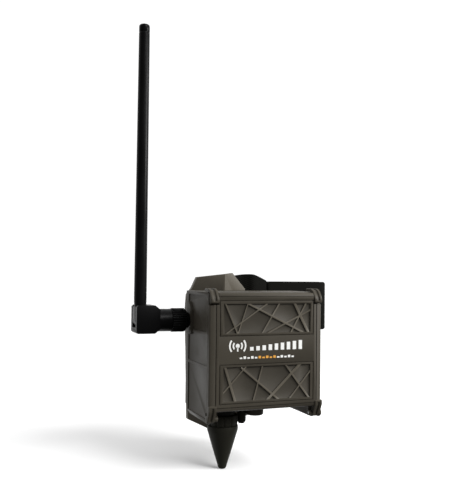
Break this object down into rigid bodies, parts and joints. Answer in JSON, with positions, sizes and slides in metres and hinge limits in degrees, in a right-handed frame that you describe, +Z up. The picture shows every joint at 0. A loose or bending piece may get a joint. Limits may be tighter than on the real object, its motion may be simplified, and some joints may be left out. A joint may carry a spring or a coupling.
{
  "type": "trail camera cellular adapter",
  "caption": "Weatherproof field transmitter box with swivel whip antenna, ribbed hinged door, cable gland boot and strapped tree bracket.",
  "frame": {"origin": "centre of the flat pad on the back of the tree bracket, level with the middle of the housing", "axes": "+Z up along the raised antenna, +Y out of the back towards the tree, +X to the right seen from the front"},
  "size_m": [0.1733, 0.0865, 0.3355],
  "materials": {
    "olive_plastic": "fine textured moulding",
    "steel": "satin",
    "brass": "satin",
    "dark_rubber": "matt",
    "black_plastic": "satin",
    "board_green": "solder mask",
    "shield_metal": "satin",
    "switch_grey": "satin",
    "button_red": "satin",
    "led_red": "clear",
    "led_green": "clear",
    "card_white": "satin",
    "cell_case": "printed sleeve",
    "webbing": "woven"
  },
  "bodies": {
    "housing": {"main_shell": "olive_plastic", "tree_bracket": "olive_plastic", "hinge_pin_left": "steel", "hinge_pin_right": "steel", "dc_jack_nut": "steel", "cover_pin": "steel", "buckle_frame": "steel", "buckle_pin": "steel", "board_screw_1": "steel", "board_screw_2": "steel", "panel_screw_1": "steel", "panel_screw_2": "steel", "bracket_screw_1": "steel", "bracket_screw_2": "steel", "bracket_screw_3": "steel", "bracket_screw_4": "steel", "sma_jack": "brass", "sma_nut": "brass", "tripod_insert": "brass", "door_gasket": "dark_rubber", "sma_seal": "dark_rubber", "cable_boot": "dark_rubber", "gland_body": "black_plastic", "gland_lock_nut": "black_plastic", "dc_jack": "black_plastic", "control_panel": "black_plastic", "main_board": "board_green", "control_board": "board_green", "cellular_module": "shield_metal", "sim_socket": "shield_metal", "status_led_1": "led_red", "status_led_2": "led_green", "strap_webbing": "webbing"},
    "door": {"front_door": "olive_plastic", "latch_pin_left": "steel", "latch_pin_right": "steel"},
    "latch_left": {"latch_clip_left": "olive_plastic"},
    "latch_right": {"latch_clip_right": "olive_plastic"},
    "collar": {"antenna_collar": "black_plastic"},
    "antenna_base": {"antenna_base": "black_plastic", "antenna_pivot": "steel"},
    "whip": {"antenna_whip": "black_plastic"},
    "gland_nut": {"gland_nut": "dark_rubber"},
    "jack_cover": {"dc_jack_cover": "dark_rubber"},
    "power_switch": {"power_switch": "switch_grey"},
    "test_button": {"test_button": "button_red"},
    "sim_card": {"sim_card": "card_white"},
    "battery_tray": {"battery_tray": "black_plastic", "tray_contact_bottom": "steel", "tray_contact_top": "steel", "battery_1": "cell_case", "battery_2": "cell_case", "battery_3": "cell_case", "battery_4": "cell_case", "battery_5": "cell_case", "battery_6": "cell_case", "battery_7": "cell_case", "battery_8": "cell_case"},
    "buckle_lever": {"buckle_lever": "steel"}
  },
  "joints": [
    {"name": "door_hinge", "type": "hinge", "parent": "housing", "child": "door", "pos_m": [0, -0.0555, -0.0472], "axis": [1, 0, 0], "range_deg": [0, 100]},
    {"name": "latch_left_hinge", "type": "hinge", "parent": "door", "child": "latch_left", "pos_m": [-0.0413, -0.0597, 0.0373], "axis": [1, 0, 0], "range_deg": [0, 40]},
    {"name": "latch_right_hinge", "type": "hinge", "parent": "door", "child": "latch_right", "pos_m": [0.0413, -0.0597, 0.0373], "axis": [1, 0, 0], "range_deg": [0, 40]},
    {"name": "collar_turn", "type": "hinge", "parent": "housing", "child": "collar", "pos_m": [-0.054, -0.0125, 0.021], "axis": [1, 0, 0], "continuous": true},
    {"name": "antenna_swivel", "type": "hinge", "parent": "housing", "child": "antenna_base", "pos_m": [-0.072, -0.0125, 0.021], "axis": [1, 0, 0], "range_deg": [-180, 180]},
    {"name": "whip_tilt", "type": "hinge", "parent": "antenna_base", "child": "whip", "pos_m": [-0.0835, -0.0125, 0.021], "axis": [0, 1, 0], "range_deg": [-90, 0]},
    {"name": "gland_nut_turn", "type": "hinge", "parent": "housing", "child": "gland_nut", "pos_m": [-0.0236, -0.0325, -0.052], "axis": [0, 0, 1], "continuous": true},
    {"name": "jack_cover_hinge", "type": "hinge", "parent": "housing", "child": "jack_cover", "pos_m": [-0.00825, -0.025, -0.0466], "axis": [1, 0, 0], "range_deg": [0, 100]},
    {"name": "power_switch_slide", "type": "slide", "parent": "housing", "child": "power_switch", "axis": [0, 0, 1], "range_m": [0, 0.005]},
    {"name": "test_button_push", "type": "slide", "parent": "housing", "child": "test_button", "axis": [0, 1, 0], "range_m": [0, 0.001], "stiffness_N_per_m": 300},
    {"name": "sim_card_slide", "type": "slide", "parent": "housing", "child": "sim_card", "axis": [0, 0, 1], "range_m": [0, 0.0105]},
    {"name": "battery_tray_slide", "type": "slide", "parent": "housing", "child": "battery_tray", "axis": [0, -1, 0], "range_m": [0, 0.005]},
    {"name": "buckle_lever_hinge", "type": "hinge", "parent": "housing", "child": "buckle_lever", "pos_m": [0.0534, 0.0205, 0.0315], "axis": [0, 0, 1], "range_deg": [0, 95]}
  ]
}
